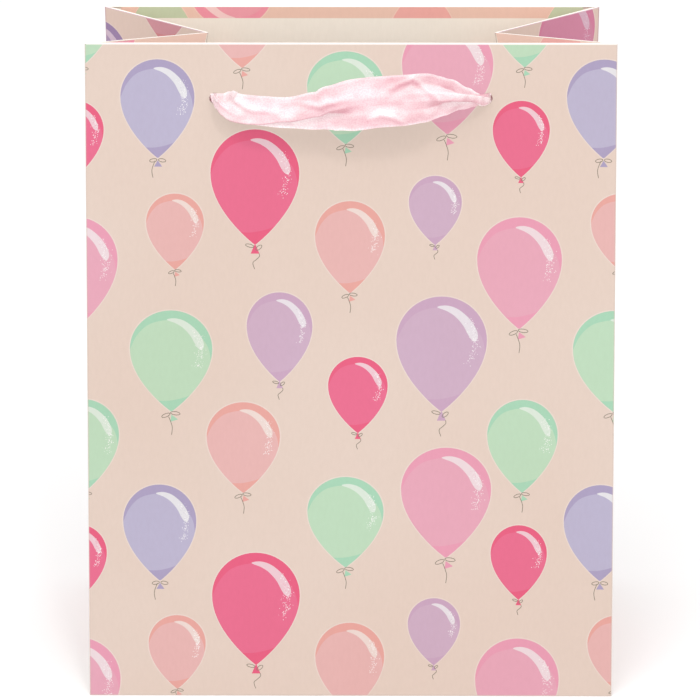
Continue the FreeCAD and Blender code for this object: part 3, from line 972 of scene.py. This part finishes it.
UPPER_TURN = [(-67.5, 3.14), (-64.5, 2.2), (-61.5, 1.4), (-57.5, 0.4), (-48, 0.12), (28, 0.15),
              (36, 0.5), (43, 1.0), (48.5, 1.35), (57, 2.1), (62.4, 2.6), (66, 3.14)]
RIPPLE = [(-68, 0.3), (-60, 0.3), (-50, 0.12), (-20, 0.07), (26, 0.08), (45, 0.25), (60, 0.4),
          (68, 0.3)]
TILT = [(-68, 0.0), (-45, -0.06), (-10, 0.08), (25, 0.12), (50, 0.08), (68, 0.0)]


# Sharp wrinkles: (height, points as millimetres across from the middle and place in the width).
WRINKLES = [(1.4, [(20, 0.5), (27, 0.72), (31, 0.82), (36, 0.4), (41.5, -0.04), (44, -0.5)]),
            (1.1, [(8, -0.62), (14, -0.48), (20, -0.62), (25, -0.9)]),
            (1.0, [(-62, 0.85), (-56, 0.68), (-47, 0.45), (-36, 0.42)]),
            (1.0, [(-26, 0.75), (-12, 0.35), (0, 0.3)]),
            (-1.4, [(43, 0.62), (50, 0.5), (57, 0.42)])]
WRINKLE_WIDE = 1.5


def wrinkled(x, v):
    """How far the wrinkles lift the cloth."""
    spot, lift = Vector((x, v * RIBBON / 2)), 0.0
    for height, points in WRINKLES:
        if not points[0][0] - 6 < x < points[-1][0] + 6:
            continue
        nearest, share = 99.0, 0.0
        for k in range(len(points) - 1):
            a, b = (Vector((p[0], p[1] * RIBBON / 2)) for p in points[k:k + 2])
            t = max(0.0, min(1.0, (spot - a).dot(b - a) / (b - a).length_squared))
            away = (spot - a.lerp(b, t)).length
            if away < nearest:
                nearest, share = away, (k + t) / (len(points) - 1)
        fade = 0.35 + 0.65 * math.sin(math.pi * share)
        lift += height * math.exp(-(nearest / WRINKLE_WIDE) ** 2) * fade
    return lift


def tuck(up, start, cloth, angle):
    """The cloth's heading at a distance up from its bottom edge, where one tuck runs."""
    return angle * (eased((up - start) / TUCK_TURN + 0.5)
                    - eased((up - start - cloth) / TUCK_TURN + 0.5))


def knot_piece(name, wall, side, body, node):
    """An overhand knot: a lumpy body with the ribbon's turns wound round it."""
    parts = ([], [], [], [])
    around, turns = 40, 26
    for i in range(turns + 1):
        a = math.pi * i / turns
        for k in range(around):
            b = math.tau * k / around
            ridge = 0.5 + 0.5 * math.sin(3 * b + 4.2 * math.cos(a) + side)
            cross = math.exp(-((math.cos(a) * 0.8 + math.sin(a) * math.cos(b) * 0.6) / 0.28) ** 2)
            swell = 0.84 + 0.1 * ridge ** 2 + 0.12 * cross
            x = 5.6 * math.sin(a) * math.cos(b) * swell
            y = 6.4 * math.cos(a) * swell
            z = 4.3 * math.sin(a) * math.sin(b) * swell
            parts[0].append(wall.at(side * HOLE_X + x, HEIGHT - HOLE_DROP + y, -KNOT_DEPTH + z))
            # Painted highlight on the knot's ridges and crossings, painted shade between them.
            parts[2].append(mixed(SATIN_PAINTED_SHADE, SATIN_PAINTED_SHEEN, 0.25 + 0.7 * max(ridge * 0.8, cross)))
            parts[3].append((x * MM * 2, (y + z) * MM, side))
    for i in range(turns):
        for k in range(around):
            m = (k + 1) % around
            quad = [i * around + k, i * around + m, (i + 1) * around + m, (i + 1) * around + k]
            parts[1].append(quad[::-1])
    piece = satin_object(name, parts)
    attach(piece, body)
    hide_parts(node)
    return piece


def ribbon(name, wall, level, mirrored, seed, points, ends):
    """One whole ribbon, from tail to tail. level is the way that its loop stands off, and ends
    are where it comes through the panel's face."""
    hole_y = HEIGHT - HOLE_DROP
    pivot = wall.origin + wall.up * hole_y + wall.out * STRAND_OUT
    wide = -wall.along.cross(level)
    parts = ([], [], [], [])

    def loop(x, out, rise):
        return pivot + wall.along * x + level * out + wide * rise

    def inner(x, y, lift):
        return wall.origin + wall.along * x + wall.up * y + wall.out * lift

    line = [inner(-HOLE_X, hole_y, -KNOT_DEPTH), inner(ends[0], hole_y, 0.6)]
    line += [loop(*p) for p in points]
    line += [inner(ends[1], hole_y, 0.6), inner(HOLE_X, hole_y, -KNOT_DEPTH)]
    centres = spline_points(line, 230)
    flip = -1 if mirrored else 1

    def bend_at(i, v):
        x = (centres[i] - pivot).dot(wall.along) * flip
        up = (v + 1) * RIBBON / 2
        lower = tuck(up, between(LOWER_START, x), between(LOWER_CLOTH, x), between(LOWER_TURN, x))
        upper = tuck(up, UPPER_START, between(UPPER_CLOTH, x), between(UPPER_TURN, x))
        ripple = between(RIPPLE, x) * math.sin(math.tau * 1.15 * v + 0.9 + 0.03 * x)
        return lower - upper + ripple + between(TILT, x)

    def pinch(i):
        deep = (centres[i] - pivot).dot(wall.out)
        return 0.93 + 0.07 * eased((deep - 0.5) / 4)

    def crease(i, v):
        return wrinkled((centres[i] - pivot).dot(wall.along) * flip, v)

    rows, shades, places = strip(centres, wide, wall.out, bend_at, 60, 1.1, seed, pinch=pinch,
                                 crease=crease)
    add_sheet(parts, rows, shades, places)
    for side in (-1, 1):
        tail = [inner(side * HOLE_X, hole_y - 3, -KNOT_DEPTH),
                inner(side * (HOLE_X - 1.5), hole_y - 12, -KNOT_DEPTH + 1.2),
                inner(side * (HOLE_X - 3), hole_y - 26, -KNOT_DEPTH + 1.8),
                inner(side * (HOLE_X - 2), hole_y - 39, -KNOT_DEPTH + 0.6)]
        spots = spline_points(tail, 44)

        def relax(i, v, side=side):
            return (2.05 - 1.7 * min(1.0, i / 30)) * math.sin(math.pi * PLEATS * v + side)

        rows, shades, places = strip(spots, wall.along, -wall.out, relax, 40, 0.5,
                                     seed + side, cut=4 * side)
        add_sheet(parts, rows, shades, places)
        word = ("left", "right")[(side * wall.along.x > 0)]
        knot_piece("%s_%s_knot" % (name, word), wall, side, name + "_wall",
                                "%s_ribbon_%s_knot" % (name, word))
    piece = satin_object(name + "_satin_ribbon", parts)
    piece.visible_diffuse = False         # thin satin hardly shades the paper from soft light
    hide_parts(name + "_ribbon_loop")
    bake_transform(piece)


# Points of each handle's middle line: across from the middle, out from its pivot, and up.
FRONT_LOOP = [(-66.6, 2.3, 0), (-63.7, 6, -0.5), (-60.6, 9, -1.4), (-56.5, 11.5, -2.7),
              (-46.4, 15, -3.3), (-31.6, 18.5, -3.8), (-15.9, 21, -2.3), (-8, 22.5, -0.7),
              (9.5, 23.5, 2), (26.9, 23, 3.4), (35.7, 21.5, 4), (47.6, 17.5, 3.5),
              (56.6, 12, 2), (61.8, 8.5, 0.8), (65.2, 5.5, 0), (67.7, 2.3, 0)]
BACK_LOOP = [(-67.5, 2.5, 0), (-61, 9, 0.5), (-48, 17, 1.5), (-30, 24, 2.5), (-8, 28, 2),
             (14, 28, 1), (34, 23, 0.5), (50, 16, 0), (62, 8.5, 0), (67.5, 2.5, 0)]
droop = math.radians(25)
ribbon("front", FRONT, Vector((0, -1, 0)), False, 2.3, FRONT_LOOP, (-66.8, 68.9))
ribbon("back", BACK, Vector((0, math.cos(droop), -math.sin(droop))), True, 7.7, BACK_LOOP,
       (-68.9, 68.9))

# ---------------------------------------------------------------- carried-over CAD pieces
for node, look in (("front_rim_card", CARD_LOOK), ("back_rim_card", CARD_LOOK),
                   ("side_seam_flap", WHITE_LOOK), ("left_bottom_flap", WHITE_LOOK),
                   ("right_bottom_flap", WHITE_LOOK), ("base_board", BOARD_LOOK)):
    data = frame["nodes"][node].data
    data.materials.clear()
    data.materials.append(look)
